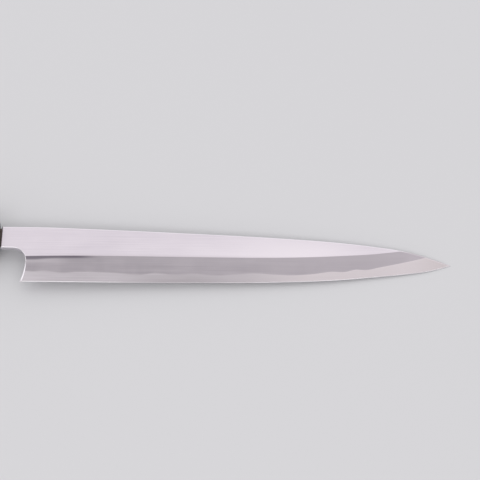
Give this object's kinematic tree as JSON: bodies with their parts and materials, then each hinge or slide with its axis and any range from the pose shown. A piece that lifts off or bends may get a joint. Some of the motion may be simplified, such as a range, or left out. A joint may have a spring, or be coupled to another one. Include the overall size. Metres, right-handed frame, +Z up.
{
  "type": "yanagiba knife",
  "caption": "Japanese yanagiba slicing knife: long single-bevel blade of soft iron welded to hard steel, tang in an octagonal wooden handle with a horn ferrule.",
  "frame": {"origin": "on the surface that the knife rests on, under the middle of its bounding box", "axes": "+X toward the tip, +Y toward the spine, +Z up from the surface, on the ground side of the blade"},
  "size_m": [0.419, 0.0414, 0.0256],
  "materials": {
    "soft_iron": "fine satin flat, hazy grey bevel, dark scale on the tang",
    "hard_steel": "bright honed satin",
    "horn": "polished black buffalo horn",
    "magnolia": "bare sanded magnolia"
  },
  "bodies": {
    "root": {"blade_iron": "soft_iron", "edge_steel": "hard_steel", "ferrule": "horn", "handle": "magnolia"}
  },
  "joints": []
}
